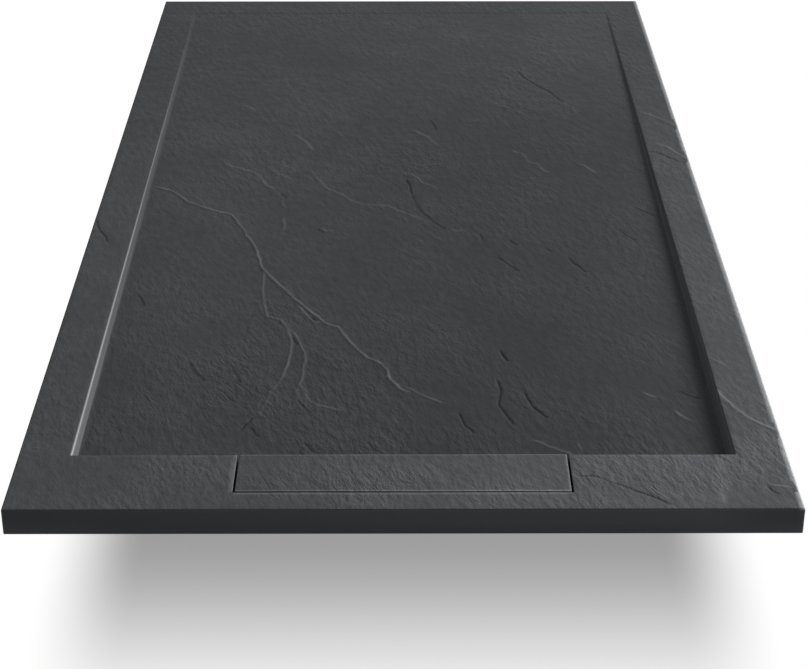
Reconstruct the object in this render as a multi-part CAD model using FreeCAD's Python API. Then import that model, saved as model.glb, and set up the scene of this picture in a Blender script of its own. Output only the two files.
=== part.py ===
import FreeCAD, Part

import math
import os

from FreeCAD import Vector

# A low framed shower tray cast in stone resin. Its floor falls gently to a hidden trough at the front end,
# under a lift-off cover of the same resin. A bottle trap is clamped through the trough's floor from below.
#
# X runs across the tray, +Y from the drain end to the far end, +Z up. The origin is the middle of the flat
# underside, which is bedded on the bathroom floor. All sizes are in millimetres.

# ---- the cast tray
tray_length = 1600.0
tray_width = 800.0
tray_height = 30.0
outer_edge_radius = 2.0
outer_corner_radius = 2.5

side_rim = 55.0
back_rim = 62.0
front_rim = 106.0

basin_depth_front = 13.0
basin_depth_back = 0.5
basin_wall_run = 4.0

# ---- the drain cover, and the clearance all round it
cover_width = 340.0
cover_depth = 72.0
cover_thickness = 8.0
cover_gap = 2.2
cover_edge_radius = 1.0

backing_plate_thickness = 1.5
backing_plate_inset = 3.0
backing_lip_height = 3.0

edge_pad_thickness = 1.5
edge_pad_length = 26.0
edge_pad_margin = 1.0
edge_pad_end_offset = 24.0

# ---- the trough under the cover
side_ledge = 10.0
front_ledge = 8.0
trough_floor_thickness = 10.0
trough_behind_cover = 8.0
trough_corner_radius = 8.0
trough_foot_radius = 2.5

post_radius = 6.0
post_spacing = 190.0
post_from_trough_rear = 20.0
post_pad_thickness = 1.5

# ---- the waste fitting clamped through the trough's floor
waste_hole_radius = 26.0
waste_seat_depth = 3.5
waste_seat_clearance = 0.5
waste_flange_radius = 32.0
waste_flush_gap = 0.2
flange_seal_thickness = 1.5
tail_radius = 25.0
tail_bore_radius = 22.2
tail_reach_below_tray = 24.0
tail_thread_clearance = 0.1
insert_seat_width = 1.4

underside_pocket_depth = 3.0
underside_pocket_margin = 5.0
underside_seal_thickness = 3.0
underside_seal_width = 12.0

# ---- the lift-out insert: dip tube, its ring and the hair strainer
insert_clearance = 0.2
dip_tube_rim_thickness = 1.2
dip_tube_upper_radius = 21.9
dip_tube_upper_height = 24.0
dip_tube_radius = 20.0
dip_tube_bore_radius = 17.5
water_seal_depth = 30.0

o_ring_section = 2.5
o_ring_below_flange = 14.0
o_ring_groove_clearance = 0.1
o_ring_bore_clearance = 0.05

strainer_thickness = 0.8
strainer_hole_radius = 1.7
strainer_hole_pitch = 5.2
strainer_hole_rings = 3
knob_radius = 4.5
knob_neck_radius = 2.5
knob_height = 7.0
knob_head_height = 3.0
knob_shank_radius = 1.5
knob_shank_length = 3.0
knob_shank_clearance = 0.1

# ---- the trap body and its swivelling outlet
trap_radius = 40.0
trap_wall = 2.5
trap_flange_radius = 44.0
trap_flange_thickness = 4.0
trap_collar_wall = 4.0
trap_below_dip_tube = 9.0
trap_rib_count = 8
trap_rib_width = 2.5

outlet_bore_radius = 16.0
outlet_neck_wall = 3.0
outlet_neck_length = 7.0
outlet_ball_radius = 24.0
outlet_ball_half_width = 11.0
outlet_ball_clearance = 0.4
outlet_socket_wall = 3.0
outlet_socket_depth = 16.0
outlet_socket_mouth = 4.0
outlet_seal_width = 3.5
outlet_seal_contact_gap = 0.1
outlet_pipe_radius = 20.0
outlet_pipe_wall = 2.0
outlet_pipe_length = 80.0
outlet_pipe_chamfer = 1.0

nut_wall = 3.5
nut_thread_clearance = 0.15
nut_lip_depth = 4.0
nut_back_reach = 8.0
nut_rib_count = 12
nut_rib_width = 6.0
nut_rib_height = 1.2
nut_below_tray = 5.0

# ---- places worked out from the sizes above
front_y = -tray_length / 2
back_y = tray_length / 2
basin_half_width = tray_width / 2 - side_rim
basin_back_y = back_y - back_rim
basin_front_y = front_y + front_rim

cover_rear_y = basin_front_y
cover_front_y = cover_rear_y - cover_depth
recess_front_y = cover_front_y - cover_gap
recess_half_width = cover_width / 2 + cover_gap
cover_bottom_z = tray_height - cover_thickness
ledge_z = cover_bottom_z - edge_pad_thickness
plate_bottom_z = cover_bottom_z - backing_plate_thickness

trough_front_y = recess_front_y + front_ledge
trough_rear_y = cover_rear_y + trough_behind_cover
trough_half_width = recess_half_width - side_ledge
post_y = trough_rear_y - post_from_trough_rear
post_top_z = plate_bottom_z - post_pad_thickness

waste_y = (trough_front_y + trough_rear_y) / 2
waste_seat_z = trough_floor_thickness - waste_seat_depth
waste_seat_radius = waste_flange_radius + waste_seat_clearance
flange_bottom_z = waste_seat_z + flange_seal_thickness
flange_top_z = trough_floor_thickness - waste_flush_gap
insert_seat_radius = tail_bore_radius + insert_seat_width
insert_seat_z = flange_top_z - dip_tube_rim_thickness - strainer_thickness
dip_rim_top_z = insert_seat_z + dip_tube_rim_thickness
o_ring_z = flange_top_z - o_ring_below_flange

trap_top_z = underside_pocket_depth - underside_seal_thickness
underside_pocket_radius = trap_flange_radius + underside_pocket_margin
socket_bore_radius = outlet_ball_radius + outlet_ball_clearance
socket_radius = socket_bore_radius + outlet_socket_wall
nut_bore_radius = socket_radius + nut_thread_clearance
nut_radius = nut_bore_radius + nut_wall
outlet_z = -nut_below_tray - nut_radius - nut_rib_height
dip_bottom_z = outlet_z - outlet_bore_radius - water_seal_depth
trap_inner_floor_z = dip_bottom_z - trap_below_dip_tube
trap_bottom_z = trap_inner_floor_z - trap_wall
ball_y = waste_y + trap_radius + outlet_neck_length + outlet_socket_depth


# ---- shapes that several pieces use
def block(x0, x1, y0, y1, z0, z1):
    return Part.makeBox(x1 - x0, y1 - y0, z1 - z0, Vector(x0, y0, z0))


def rod(radius, z0, z1, x=0.0, y=0.0):
    return Part.makeCylinder(radius, z1 - z0, Vector(x, y, z0))


def tube(outer, inner, z0, z1, x=0.0, y=0.0):
    return rod(outer, z0, z1, x, y).cut(rod(inner, z0, z1, x, y))


def upright_edges(shape):
    """The straight edges of a shape that run along Z."""
    found = []
    for edge in shape.Edges:
        run = edge.Vertexes[-1].Point.sub(edge.Vertexes[0].Point)
        if abs(run.x) < 1e-6 and abs(run.y) < 1e-6 and abs(run.z) > 1e-6:
            found.append(edge)
    return found


def edges_at_height(shape, z):
    """The edges of a shape that lie wholly at one height."""
    return [e for e in shape.Edges if all(abs(v.Point.z - z) < 1e-6 for v in e.Vertexes)]


def onto_outlet_axis(shape):
    """Turns a shape made about the Z axis to lie along +Y, with its own origin at the middle of the outlet's ball."""
    turned = shape.copy()
    turned.rotate(Vector(0, 0, 0), Vector(1, 0, 0), -90)
    turned.translate(Vector(0, ball_y, outlet_z))
    return turned


def save(node, shape):
    whole = shape.removeSplitter()
    assert whole.isValid() and whole.Volume > 0, node
    whole.exportStep(os.path.join("parts", node + ".step"))
    print(f"{node}: {len(whole.Solids)} solids, {whole.Volume / 1000:.1f} cm3")


# ---- the cast tray
def basin_hollow():
    """The space cut out above the sloping floor: straight sides that lean outwards by the same run all round."""
    foot_half_width = basin_half_width - basin_wall_run
    foot_front_y = basin_front_y + basin_wall_run
    foot_back_y = basin_back_y - basin_wall_run
    front_z = tray_height - basin_depth_front
    back_z = tray_height - basin_depth_back
    rim = Part.makePolygon(
        [
            Vector(-basin_half_width, basin_front_y, tray_height),
            Vector(basin_half_width, basin_front_y, tray_height),
            Vector(basin_half_width, basin_back_y, tray_height),
            Vector(-basin_half_width, basin_back_y, tray_height),
            Vector(-basin_half_width, basin_front_y, tray_height),
        ]
    )
    foot = Part.makePolygon(
        [
            Vector(-foot_half_width, foot_front_y, front_z),
            Vector(foot_half_width, foot_front_y, front_z),
            Vector(foot_half_width, foot_back_y, back_z),
            Vector(-foot_half_width, foot_back_y, back_z),
            Vector(-foot_half_width, foot_front_y, front_z),
        ]
    )
    return Part.makeLoft([foot, rim], True, True)


def trough_hollow():
    """The trough below the cover, with rounded corners and a rounded foot all round."""
    hollow = block(
        -trough_half_width,
        trough_half_width,
        trough_front_y,
        trough_rear_y,
        trough_floor_thickness,
        tray_height,
    )
    hollow = hollow.makeFillet(trough_corner_radius, upright_edges(hollow))
    return hollow.makeFillet(trough_foot_radius, edges_at_height(hollow, trough_floor_thickness))


def tray_body():
    slab = block(-tray_width / 2, tray_width / 2, front_y, back_y, 0, tray_height)
    slab = slab.makeFillet(outer_corner_radius, upright_edges(slab))
    slab = slab.makeFillet(outer_edge_radius, edges_at_height(slab, tray_height))
    cover_recess = block(
        -recess_half_width,
        recess_half_width,
        recess_front_y,
        basin_front_y + basin_wall_run,
        ledge_z,
        tray_height,
    )
    seat = rod(waste_seat_radius, waste_seat_z, tray_height, 0, waste_y)
    hole = rod(waste_hole_radius, 0, tray_height, 0, waste_y)
    pocket = rod(underside_pocket_radius, 0, underside_pocket_depth, 0, waste_y)
    body = slab.cut(basin_hollow()).cut(cover_recess).cut(trough_hollow()).cut(seat).cut(hole).cut(pocket)
    for side in (-1, 1):
        post = rod(post_radius, trough_floor_thickness / 2, post_top_z, side * post_spacing / 2, post_y)
        body = body.fuse(post)
    return body


def cover_post_pads():
    """Rubber buttons on the two posts, which carry the unsupported rear of the cover."""
    pads = []
    for side in (-1, 1):
        pads.append(rod(post_radius, post_top_z, plate_bottom_z, side * post_spacing / 2, post_y))
    return Part.makeCompound(pads)


# ---- the cover and what is bonded under it
def drain_cover():
    cover = block(
        -cover_width / 2, cover_width / 2, cover_front_y, cover_rear_y, cover_bottom_z, tray_height
    )
    return cover.makeFillet(cover_edge_radius, edges_at_height(cover, tray_height))


def cover_backing_plate():
    """A folded steel sheet that stiffens the cover, with a lip turned down along its rear edge."""
    half_width = trough_half_width - backing_plate_inset
    plate_front_y = trough_front_y + backing_plate_inset
    plate_rear_y = cover_rear_y - backing_plate_inset
    sheet = block(-half_width, half_width, plate_front_y, plate_rear_y, plate_bottom_z, cover_bottom_z)
    lip = block(
        -half_width,
        half_width,
        plate_rear_y - backing_plate_thickness,
        plate_rear_y,
        plate_bottom_z - backing_lip_height,
        cover_bottom_z,
    )
    return sheet.fuse(lip)


def cover_edge_pads():
    """Rubber pads bonded under the cover, which rest on the ledges at its front and ends."""
    front_from = cover_front_y + edge_pad_margin
    front_to = trough_front_y - edge_pad_margin
    end_from = trough_half_width + edge_pad_margin
    end_to = cover_width / 2 - edge_pad_margin
    end_middle_y = (trough_front_y + cover_rear_y) / 2
    end_pad_centre = cover_width / 2 - edge_pad_end_offset
    pads = []
    for middle in (-end_pad_centre, 0.0, end_pad_centre):
        x0 = middle - edge_pad_length / 2
        pads.append(block(x0, x0 + edge_pad_length, front_from, front_to, ledge_z, cover_bottom_z))
    for side in (-1, 1):
        x0, x1 = sorted((side * end_from, side * end_to))
        y0 = end_middle_y - edge_pad_length / 2
        pads.append(block(x0, x1, y0, y0 + edge_pad_length, ledge_z, cover_bottom_z))
    return Part.makeCompound(pads)


# ---- the waste fitting
def waste_flange():
    """The ring in the trough's seat, whose threaded tail pulls the trap up against the tray."""
    ring = rod(waste_flange_radius, flange_bottom_z, flange_top_z, 0, waste_y)
    tail = rod(tail_radius, -tail_reach_below_tray, flange_top_z, 0, waste_y)
    bore = rod(tail_bore_radius, -tail_reach_below_tray, flange_top_z, 0, waste_y)
    seat = rod(insert_seat_radius, insert_seat_z, flange_top_z, 0, waste_y)
    return ring.fuse(tail).cut(bore).cut(seat)


def flange_seal():
    return tube(waste_flange_radius, tail_radius, waste_seat_z, flange_bottom_z, 0, waste_y)


def underside_seal():
    outer = waste_hole_radius + underside_seal_width
    return tube(outer, tail_radius, trap_top_z, underside_pocket_depth, 0, waste_y)


def dip_tube():
    """The lift-out tube that dips into the trap's water. Its rim hangs on the seat inside the flange."""
    upper_bottom_z = insert_seat_z - dip_tube_upper_height
    rim_radius = insert_seat_radius - insert_clearance
    rim = rod(rim_radius, insert_seat_z, dip_rim_top_z, 0, waste_y)
    upper = rod(dip_tube_upper_radius, upper_bottom_z, dip_rim_top_z, 0, waste_y)
    lower = rod(dip_tube_radius, dip_bottom_z, dip_rim_top_z, 0, waste_y)
    bore = rod(dip_tube_bore_radius, dip_bottom_z, dip_rim_top_z, 0, waste_y)
    groove_half = o_ring_section / 2 + o_ring_groove_clearance
    groove_floor = tail_bore_radius - o_ring_bore_clearance - o_ring_section
    groove = tube(
        tail_bore_radius, groove_floor, o_ring_z - groove_half, o_ring_z + groove_half, 0, waste_y
    )
    return rim.fuse(upper).fuse(lower).cut(bore).cut(groove)


def dip_tube_o_ring():
    centre_radius = tail_bore_radius - o_ring_bore_clearance - o_ring_section / 2
    return Part.makeTorus(centre_radius, o_ring_section / 2, Vector(0, waste_y, o_ring_z))


def hair_strainer():
    """A pierced steel disc that lies on the dip tube's rim, flush with the flange."""
    disc = rod(
        insert_seat_radius - insert_clearance, dip_rim_top_z, dip_rim_top_z + strainer_thickness, 0, waste_y
    )
    holes = [rod(knob_shank_radius, dip_rim_top_z, dip_rim_top_z + strainer_thickness, 0, waste_y)]
    for ring in range(1, strainer_hole_rings + 1):
        ring_radius = knob_radius + ring * strainer_hole_pitch - strainer_hole_radius
        count = int(2 * math.pi * ring_radius / strainer_hole_pitch)
        for n in range(count):
            angle = 2 * math.pi * n / count
            holes.append(
                rod(
                    strainer_hole_radius,
                    dip_rim_top_z,
                    dip_rim_top_z + strainer_thickness,
                    ring_radius * math.cos(angle),
                    waste_y + ring_radius * math.sin(angle),
                )
            )
    return disc.cut(Part.makeCompound(holes))


def strainer_knob():
    """The turned knob that lifts the strainer, riveted through the disc's middle."""
    disc_top = dip_rim_top_z + strainer_thickness
    knob_top = disc_top + knob_height
    neck = rod(knob_neck_radius, disc_top, knob_top - knob_head_height, 0, waste_y)
    head = rod(knob_radius, knob_top - knob_head_height, knob_top, 0, waste_y)
    head = head.makeFillet(knob_head_height / 3, head.Edges[:1])
    shank_radius = knob_shank_radius - knob_shank_clearance
    shank = rod(shank_radius, dip_rim_top_z - knob_shank_length, disc_top, 0, waste_y)
    rivet_head = rod(
        knob_neck_radius, dip_rim_top_z - knob_shank_length, dip_rim_top_z, 0, waste_y
    )
    return neck.fuse(head).fuse(shank).fuse(rivet_head)


# ---- the trap and its outlet
def trap_body():
    """A moulded bottle: a top plate with a threaded collar, a round cup, and a socket for the outlet's ball."""
    top_plate = rod(trap_flange_radius, trap_top_z - trap_flange_thickness, trap_top_z, 0, waste_y)
    cup = rod(trap_radius, trap_bottom_z, trap_top_z, 0, waste_y)
    cup_inside = rod(
        trap_radius - trap_wall, trap_inner_floor_z, trap_top_z - trap_flange_thickness, 0, waste_y
    )
    thread_radius = tail_radius + tail_thread_clearance
    collar = rod(thread_radius + trap_collar_wall, -tail_reach_below_tray, trap_top_z, 0, waste_y)
    collar_bore = rod(thread_radius, -tail_reach_below_tray, trap_top_z, 0, waste_y)

    neck_start = -(outlet_socket_depth + outlet_neck_length + trap_wall)
    neck = rod(outlet_bore_radius + outlet_neck_wall, neck_start, -outlet_socket_depth)
    socket = rod(socket_radius, -outlet_socket_depth - outlet_socket_wall, outlet_socket_mouth)
    socket_inside = rod(socket_bore_radius, -outlet_socket_depth, outlet_socket_mouth)
    neck_bore = rod(outlet_bore_radius, neck_start - trap_wall, -outlet_socket_depth)

    outside = cup.fuse(top_plate)
    rib_angle = 360.0 / trap_rib_count
    for n in range(trap_rib_count):
        rib = block(
            0,
            trap_flange_radius,
            waste_y - trap_rib_width / 2,
            waste_y + trap_rib_width / 2,
            trap_top_z - trap_flange_thickness - (trap_flange_radius - trap_radius),
            trap_top_z - trap_flange_thickness / 2,
        )
        rib.rotate(Vector(0, waste_y, 0), Vector(0, 0, 1), rib_angle * (n + 0.5))
        outside = outside.fuse(rib)
    outside = outside.fuse(onto_outlet_axis(neck)).fuse(onto_outlet_axis(socket))
    body = outside.cut(cup_inside).fuse(collar).cut(collar_bore)
    return body.cut(onto_outlet_axis(neck_bore)).cut(onto_outlet_axis(socket_inside))


def outlet_seal():
    """The rubber ring at the foot of the socket that the outlet's ball bears on."""
    ring = tube(
        socket_bore_radius, outlet_bore_radius, -outlet_socket_depth, -outlet_ball_half_width + outlet_seal_width
    )
    ball_space = Part.makeSphere(outlet_ball_radius + outlet_seal_contact_gap)
    return onto_outlet_axis(ring.cut(ball_space))


def outlet_pipe():
    """The plain pipe stub that the house drain pushes onto, with the ball that lets it swivel."""
    ball = Part.makeSphere(outlet_ball_radius)
    ball = ball.common(rod(outlet_ball_radius, -outlet_ball_half_width, outlet_ball_half_width))
    pipe = rod(outlet_pipe_radius, 0, outlet_pipe_length)
    pipe = pipe.makeChamfer(outlet_pipe_chamfer, edges_at_height(pipe, outlet_pipe_length))
    bore = rod(outlet_pipe_radius - outlet_pipe_wall, -outlet_ball_half_width, outlet_pipe_length)
    return onto_outlet_axis(ball.fuse(pipe).cut(bore))


def outlet_nut():
    """The ribbed nut that screws over the socket and holds the ball in it."""
    front = outlet_socket_mouth + nut_lip_depth
    shell = rod(nut_radius, -nut_back_reach, front)
    for n in range(nut_rib_count):
        rib = block(
            0, nut_radius + nut_rib_height, -nut_rib_width / 2, nut_rib_width / 2, -nut_back_reach, front
        )
        rib.rotate(Vector(0, 0, 0), Vector(0, 0, 1), 360.0 / nut_rib_count * n)
        shell = shell.fuse(rib)
    thread_space = rod(nut_bore_radius, -nut_back_reach, outlet_socket_mouth)
    ball_space = Part.makeSphere(socket_bore_radius)
    mouth_radius = math.sqrt(socket_bore_radius**2 - front**2)
    mouth = rod(mouth_radius, -nut_back_reach, front)
    return onto_outlet_axis(shell.cut(thread_space).cut(ball_space).cut(mouth))


def main():
    os.makedirs("parts", exist_ok=True)
    pieces = (
        tray_body,
        cover_post_pads,
        drain_cover,
        cover_backing_plate,
        cover_edge_pads,
        waste_flange,
        flange_seal,
        underside_seal,
        dip_tube,
        dip_tube_o_ring,
        hair_strainer,
        strainer_knob,
        trap_body,
        outlet_seal,
        outlet_pipe,
        outlet_nut,
    )
    for piece in pieces:
        save(piece.__name__, piece())


main()
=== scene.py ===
import math

import bpy
import numpy as np
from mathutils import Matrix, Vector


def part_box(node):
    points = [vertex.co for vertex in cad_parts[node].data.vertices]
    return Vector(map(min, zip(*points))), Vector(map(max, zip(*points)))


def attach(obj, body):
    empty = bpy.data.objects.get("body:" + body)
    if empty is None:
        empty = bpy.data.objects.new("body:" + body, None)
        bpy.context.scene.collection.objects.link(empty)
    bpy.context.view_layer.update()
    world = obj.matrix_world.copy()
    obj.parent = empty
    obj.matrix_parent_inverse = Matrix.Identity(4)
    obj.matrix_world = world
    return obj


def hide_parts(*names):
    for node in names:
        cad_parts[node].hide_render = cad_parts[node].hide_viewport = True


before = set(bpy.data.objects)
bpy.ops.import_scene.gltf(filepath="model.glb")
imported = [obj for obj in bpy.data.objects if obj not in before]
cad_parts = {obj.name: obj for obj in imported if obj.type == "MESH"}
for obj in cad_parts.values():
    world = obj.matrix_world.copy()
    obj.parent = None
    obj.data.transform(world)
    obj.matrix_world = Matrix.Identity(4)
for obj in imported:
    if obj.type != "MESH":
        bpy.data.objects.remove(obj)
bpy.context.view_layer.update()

# ---- the cast tray: sizes
# One casting of stone-filled resin, poured into a mould that was taken from a sheet of split slate. The
# top carries the stone's relief; the edges, the trough and the underside are plain moulded faces.
tray_low, tray_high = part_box("tray_body")
cover_low, cover_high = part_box("drain_cover")
half_width, front, back, top = tray_high.x, tray_low.y, tray_high.y, tray_high.z

side_rim = 0.055
back_rim = 0.062
wall_run = 0.004
wall_blur = 0.0016
depth_front = 0.013
depth_back = 0.0005
outer_round = 0.002
corner_round = 0.0025
foot_chamfer = 0.0006
basin_half = half_width - side_rim
basin_front = cover_high.y
basin_back = back - back_rim

cover_gap = 0.0022
gap_edge_round = 0.0006
recess_half = cover_high.x + cover_gap
recess_front = cover_low.y - cover_gap

grid_step = 0.0057
edge_step = 0.0004
wall_step = 0.0006
cut_clearance = 0.00005


def grid_lines(stops):
    """Places of the grid's lines. Each stop gives a place and the largest step from it to the next stop."""
    lines = []
    for (start, step), (end, _) in zip(stops, stops[1:]):
        count = max(1, math.ceil((end - start) / step - 1e-6))
        lines += [start + (end - start) * n / count for n in range(count)]
    return np.array(lines + [stops[-1][0]])


def ease(t):
    """Rises smoothly from 0 at t = 0 to 1 at t = 1."""
    t = np.clip(t, 0.0, 1.0)
    return t * t * (3.0 - 2.0 * t)


def wall_share(inside):
    """How far down the basin's wall a place is, from 0 on the rim to 1 on the floor, both edges rounded."""

    def ramp(u):
        return np.where(u < wall_run, np.maximum(u, 0.0) ** 2 / (2 * wall_run), u - wall_run / 2)

    return (ramp(inside + wall_blur) - ramp(inside - wall_blur)) / (2 * wall_blur)


def round_over(distance, radius):
    """Drop of a rounded edge at a distance inside it."""
    inside = np.clip(radius - distance, 0.0, radius)
    return radius - np.sqrt(radius**2 - inside**2)


def basin_shares(x, y):
    """How far down the basin's walls a place is, and how far down its two end walls alone."""
    ends = np.minimum(wall_share(y - basin_front), wall_share(basin_back - y))
    return np.minimum(wall_share(basin_half - np.abs(x)), ends), ends


def edge_distance(x, y, half, near, far):
    """How far inside the edge of a rectangle a place is."""
    return np.minimum(half - np.abs(x), np.minimum(y - near, far - y))


def cast_height(x, y):
    """The tray's top before the slate's relief: flat rims, leaning walls and the falling floor."""
    share, _ = basin_shares(x, y)
    fall = np.clip((y - basin_front) / (basin_back - basin_front), 0.0, 1.0)
    height = top - (depth_front + (depth_back - depth_front) * fall) * share
    height = height - round_over(edge_distance(x, y, half_width, front, back), outer_round)
    beside = np.maximum(np.abs(x) - recess_half, 0.0)
    before = np.maximum(recess_front - y, 0.0)
    on_rim = y < basin_front + wall_run
    return height - np.where(on_rim, round_over(np.hypot(beside, before), gap_edge_round), 0.0)


# ---- the cast tray: the slate's relief
# The veins are low ridges, and the cracks fine grooves, that the split stone left in the mould. They are
# given in millimetres in the tray's plan: +X to the right seen from the drain end, +Y to the far end.
mm = 0.001

# each vein: how high and how wide its ridge is, how far the plate beside it drops, then the points of its line
veins = (
    (0.95, 1.3, 0.40, ((-338, 24), (-310, 7), (-284, -29), (-247, -58), (-224, -71), (-203, -123), (-185, -177),
        (-175, -229), (-167, -246), (-143, -290), (-123, -327), (-107, -353), (-91, -376),
        (-77, -386), (-61, -424), (-41, -462), (-28, -470), (-18, -491), (-13, -514), (-5, -532),
        (1, -539), (11, -541))),
    (0.70, 1.2, 0.20, ((0, -530), (9, -534), (16, -543), (25, -552), (34, -559), (48, -570))),
    (0.50, 1.3, 0.15, ((-128, -329), (-118, -348), (-109, -366), (-103, -374), (-90, -374))),
    (0.65, 1.3, 0.20, ((-172, -236), (-170, -284), (-168, -325), (-161, -358), (-146, -369), (-136, -389),
        (-129, -424), (-128, -448), (-130, -472), (-135, -500), (-139, -521))),
    (0.30, 1.4, 0.10, ((-135, -500), (-139, -521), (-147, -541), (-150, -563), (-156, -587), (-146, -598))),
    (0.60, 1.2, 0.20, ((-136, -389), (-127, -402), (-121, -421), (-113, -448), (-111, -465), (-113, -486),
        (-113, -509), (-115, -523), (-108, -539), (-103, -559), (-93, -570), (-77, -578),
        (-63, -583))),
    (0.40, 1.3, 0.15, ((-114, -523), (-118, -539), (-113, -557), (-102, -578), (-97, -587))),
    (0.45, 1.8, 0.15, ((-164, 208), (-150, 201), (-136, 175), (-122, 146))),
    (0.34, 1.8, 0.15, ((-128, 82), (-117, 51), (-108, 27), (-97, 10), (-83, -3), (-67, -23), (-53, -36),
        (-36, -42), (-18, -42), (-8, -55), (8, -68), (21, -80), (29, -93))),
    (0.45, 1.7, 0.12, ((-252, 110), (-238, 92), (-215, 78), (-202, 68), (-191, 44), (-185, 27), (-170, 10))),
    (0.40, 1.7, 0.12, ((-162, -19), (-157, -42), (-151, -55))),
    (0.35, 1.7, 0.12, ((-155, -74), (-153, -105), (-156, -126))),
    (0.35, 1.7, 0.10, ((-175, 68), (-160, 57), (-150, 44))),
    (0.35, 1.7, 0.10, ((-166, 120), (-164, 96), (-152, 85), (-143, 64))),
    (0.30, 2.0, 0.10, ((-244, 325), (-225, 313), (-215, 293))),
    (0.45, 1.6, 0.10, ((-109, -105), (-98, -120), (-85, -120))),
    (0.30, 2.0, 0.12, ((11, 227), (24, 212), (37, 197), (45, 175), (53, 164))),
    (0.28, 2.0, 0.12, ((-2, 61), (9, 71), (21, 54), (30, 34), (41, 24), (52, 7))),
    (0.40, 1.6, 0.12, ((59, -111), (70, -120), (85, -117))),
    (0.14, 1.8, 0.15, ((180, 473), (188, 442), (200, 417), (214, 391), (227, 383), (230, 362), (240, 338),
        (253, 309), (258, 278))),
    (0.22, 1.8, 0.12, ((136, 338), (144, 321), (165, 305), (178, 289), (191, 270), (211, 270))),
    (0.28, 1.8, 0.10, ((153, 153), (163, 138), (169, 135), (174, 117), (179, 103), (189, 103), (195, 78),
        (207, 64))),
    (0.35, 1.8, 0.10, ((245, 106), (258, 85), (269, 61))),
    (0.60, 1.6, 0.15, ((133, -644), (146, -650), (158, -658), (168, -667), (175, -671), (186, -690))),
    (0.40, 1.4, 0.10, ((185, -644), (187, -656), (190, -669))),
    (0.55, 1.8, 0.15, ((345, -478), (353, -488), (361, -498), (368, -506))),
    (0.75, 2.1, 0.25, ((344, -552), (350, -573), (358, -595), (371, -619), (384, -634), (399, -650))),
    (0.55, 1.5, 0.08, ((262, -538), (269, -543), (276, -552), (285, -555))),
    (0.55, 1.5, 0.08, ((292, -578), (298, -585), (305, -598), (317, -608))),
    (0.50, 1.8, 0.12, ((348, 282), (371, 262), (387, 242), (399, 222))),
    (0.50, 1.8, 0.12, ((359, 161), (376, 143), (386, 124), (399, 98))),
    (0.35, 1.8, 0.10, ((346, 81), (356, 70))),
    (0.70, 1.4, 0.20, ((366, -750), (377, -758), (387, -760), (399, -763))),
    (0.35, 3.6, 0.05, ((326, -698), (323, -726), (320, -764), (318, -797))),
)

# each crack: how deep and how wide its groove is, then the points of its line
cracks = (
    (1.0, 1.3, ((-110, -356), (-105, -366), (-98, -370))),
    (0.8, 1.1, ((-131, -407), (-126, -421), (-120, -433))),
    (0.8, 1.1, ((-161, -594), (-168, -611), (-176, -627))),
    (0.6, 1.1, ((-165, -615), (-160, -625), (-155, -640))),
    (0.8, 1.1, ((-106, -645), (-100, -658), (-93, -672))),
    (0.6, 1.1, ((-243, -472), (-233, -495), (-225, -509), (-218, -518))),
    (0.5, 1.2, ((-321, -300), (-314, -317), (-309, -337))),
    (0.6, 1.1, ((-194, -482), (-187, -505), (-181, -523))),
    (0.6, 1.1, ((-115, -557), (-107, -574), (-98, -589))),
    (1.2, 1.3, ((112, -444), (116, -460), (121, -474))),
    (0.9, 1.1, ((106, -512), (108, -536), (105, -570), (110, -584), (114, -597), (121, -616))),
    (1.0, 1.1, ((134, -540), (138, -559), (141, -572), (148, -583), (160, -601))),
    (1.0, 1.1, ((60, -584), (64, -600), (66, -613), (73, -623), (77, -633))),
    (0.5, 1.4, ((-164, 0), (-158, -10), (-153, -18))),
    (0.5, 1.4, ((-111, -109), (-106, -120), (-98, -127))),
    (0.4, 1.6, ((41, 262), (47, 243), (50, 220))),
    (1.0, 1.5, ((5, 50), (11, 20), (14, -8))),
    (0.4, 1.6, ((14, -4), (20, -42), (31, -71), (45, -99), (57, -116))),
    (0.6, 1.8, ((181, 466), (186, 440), (196, 420), (208, 398), (222, 380), (232, 352), (244, 330))),
    (0.5, 1.4, ((97, -127), (102, -138), (105, -149))),
    (0.5, 1.4, ((135, -145), (141, -156), (149, -167))),
    (0.6, 1.4, ((118, -195), (128, -212), (137, -226), (147, -240))),
    (0.5, 1.4, ((181, -169), (187, -180), (192, -188))),
    (0.7, 1.4, ((207, -198), (214, -212), (220, -226), (230, -243))),
    (0.4, 1.4, ((279, -115), (289, -135), (302, -153))),
    (0.4, 1.4, ((305, -43), (321, -61), (335, -79))),
    (0.6, 1.2, ((303, -539), (318, -550), (332, -559))),
    (0.8, 1.3, ((-399, -98), (-394, -118), (-387, -138), (-378, -158), (-373, -172))),
    (0.4, 1.5, ((343, 134), (356, 128), (372, 110), (386, 93))),
    (0.55, 1.1, ((176, -735), (191, -738), (203, -743), (222, -755), (235, -766), (253, -780), (268, -793))),
    (0.8, 1.2, ((367, -755), (372, -766), (381, -778))),
)

# where the stone split roughly: the middle of each place, how far it reaches each way, and how rough it is
rough_places = (
    (-150, -520, 150, 130, 0.9),
    (-270, -560, 90, 150, 0.6),
    (-130, -370, 70, 90, 0.5),
    (240, -750, 110, 70, 0.8),
    (-80, -745, 190, 50, 0.85),
    (330, -745, 60, 60, 0.4),
    (-60, -660, 140, 60, 0.85),
    (-200, 90, 110, 90, 0.3),
    (20, 90, 60, 130, 0.3),
    (210, 350, 70, 120, 0.3),
)

vein_wander = 0.9 * mm
end_taper = 14 * mm
plate_reach = 20 * mm
highest_relief = 0.95
relief_edge_fade = 0.004
chance_squares = 64
grain_x, grain_y = 0.40, 0.92


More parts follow.
